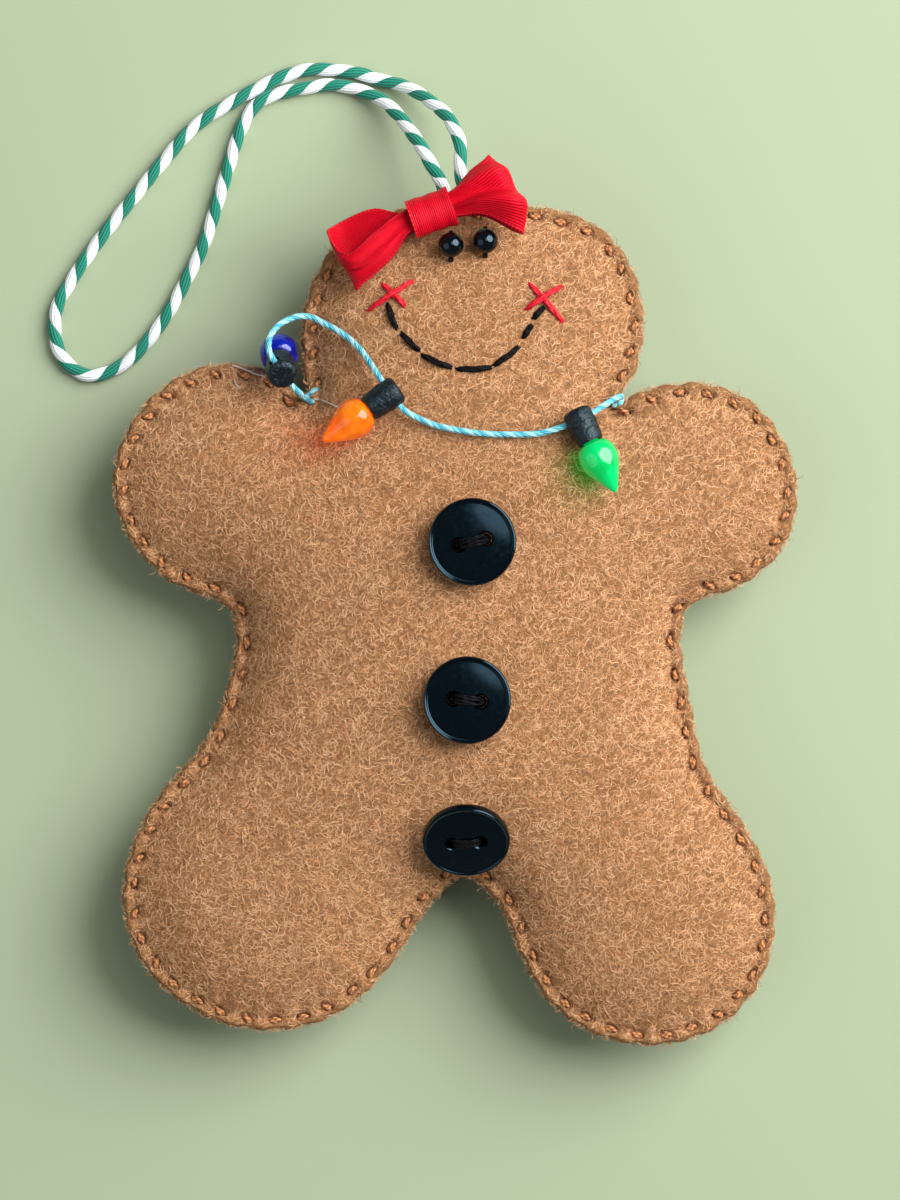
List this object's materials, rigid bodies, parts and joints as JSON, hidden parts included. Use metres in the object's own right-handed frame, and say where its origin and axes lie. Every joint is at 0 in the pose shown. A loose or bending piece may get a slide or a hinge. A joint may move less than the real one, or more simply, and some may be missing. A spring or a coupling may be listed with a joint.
{
  "type": "felt ornament",
  "caption": "Stuffed felt gingerbread figure with shank-sewn buttons, bead eyes, stitched face, ribbon bow, a string of small bulbs and a hanging cord.",
  "frame": {"origin": "on the plane that the back rests on, under the middle of the figure's width and height", "axes": "+X to the right as the face is looked at, +Y towards the head and the hanging cord, +Z out of the front"},
  "size_m": [0.1101, 0.1443, 0.0254],
  "materials": {
    "felt": "matte wool felt",
    "stuffing": "soft fibre fill",
    "seam_thread": "matte twisted thread",
    "hanging_cord": "two-ply twisted cord, one ply white",
    "button": "glossy",
    "black_thread": "matte thread",
    "bead": "glossy",
    "red_thread": "soft sheen floss",
    "ribbon": "satin ribbon with fine ribs",
    "garland_cord": "twisted cord",
    "socket": "satin",
    "blue_bulb": "clear coloured",
    "orange_bulb": "clear coloured",
    "green_bulb": "clear coloured"
  },
  "bodies": {
    "figure": {"front_panel": "felt", "back_panel": "felt", "stuffing_head": "stuffing", "stuffing_body": "stuffing", "stuffing_arm_left": "stuffing", "stuffing_arm_right": "stuffing", "stuffing_leg_left": "stuffing", "stuffing_leg_right": "stuffing", "seam_thread_front": "seam_thread", "seam_thread_back": "seam_thread", "cord_end_left": "hanging_cord", "cord_end_right": "hanging_cord", "cord_knot": "hanging_cord", "eye_thread_left": "black_thread", "eye_thread_right": "black_thread", "smile_stitch_1": "black_thread", "smile_stitch_2": "black_thread", "smile_stitch_3": "black_thread", "smile_stitch_4": "black_thread", "smile_stitch_5": "black_thread", "smile_stitch_6": "black_thread", "smile_stitch_7": "black_thread", "cheek_left_stitch_under": "red_thread", "cheek_left_stitch_over": "red_thread", "cheek_right_stitch_under": "red_thread", "cheek_right_stitch_over": "red_thread", "bow_ribbon": "ribbon", "bow_wrap": "ribbon", "garland_cord": "garland_cord", "garland_knot_left": "garland_cord", "garland_knot_right": "garland_cord"},
    "loop": {"hanging_loop": "hanging_cord"},
    "bulb_blue": {"socket_blue": "socket", "bulb_blue": "blue_bulb"},
    "bulb_orange": {"socket_orange": "socket", "bulb_orange": "orange_bulb"},
    "bulb_green": {"socket_green": "socket", "bulb_green": "green_bulb"},
    "button_top": {"button_top": "button", "button_thread_top": "black_thread"},
    "button_middle": {"button_middle": "button", "button_thread_middle": "black_thread"},
    "button_bottom": {"button_bottom": "button", "button_thread_bottom": "black_thread"},
    "eye_left": {"eye_bead_left": "bead"},
    "eye_right": {"eye_bead_right": "bead"}
  },
  "joints": [
    {"name": "loop_lift", "type": "hinge", "parent": "figure", "child": "loop", "pos_m": [-0.00078, 0.06585, 0.011], "axis": [0.8601, 0.5102, 0], "range_deg": [0, 105]},
    {"name": "blue_swing", "type": "hinge", "parent": "figure", "child": "bulb_blue", "pos_m": [-0.0252, 0.03671, 0.01937], "axis": [0.5089, -0.7335, -0.4506], "range_deg": [0, 10]},
    {"name": "orange_swing", "type": "hinge", "parent": "figure", "child": "bulb_orange", "pos_m": [-0.0094, 0.03349, 0.0222], "axis": [-0.5765, 0.8171, -0.0004], "range_deg": [0, 165]},
    {"name": "green_swing", "type": "hinge", "parent": "figure", "child": "bulb_green", "pos_m": [0.01793, 0.02985, 0.02136], "axis": [-0.8995, -0.4367, 0.0161], "range_deg": [0, 165]},
    {"name": "top_button_tilt", "type": "hinge", "parent": "figure", "child": "button_top", "pos_m": [0.00241, 0.01204, 0.02281], "axis": [0.9744, 0.225, 0], "range_deg": [-10, 10], "stiffness_Nm_per_rad": 0.0005},
    {"name": "middle_button_tilt", "type": "hinge", "parent": "figure", "child": "button_middle", "pos_m": [0.00168, -0.0108, 0.02251], "axis": [0.9945, -0.1045, 0], "range_deg": [-8, 10], "stiffness_Nm_per_rad": 0.0005},
    {"name": "bottom_button_tilt", "type": "hinge", "parent": "figure", "child": "button_bottom", "pos_m": [0.00153, -0.02992, 0.0198], "axis": [0.9976, 0.055, 0.0429], "range_deg": [-15, 2], "stiffness_Nm_per_rad": 0.0005},
    {"name": "left_eye_spin", "type": "hinge", "parent": "figure", "child": "eye_left", "pos_m": [-0.00066, 0.05517, 0.0185], "axis": [0, 1, 0], "continuous": true},
    {"name": "right_eye_spin", "type": "hinge", "parent": "figure", "child": "eye_right", "pos_m": [0.00431, 0.05575, 0.01828], "axis": [0, 1, 0], "continuous": true}
  ]
}
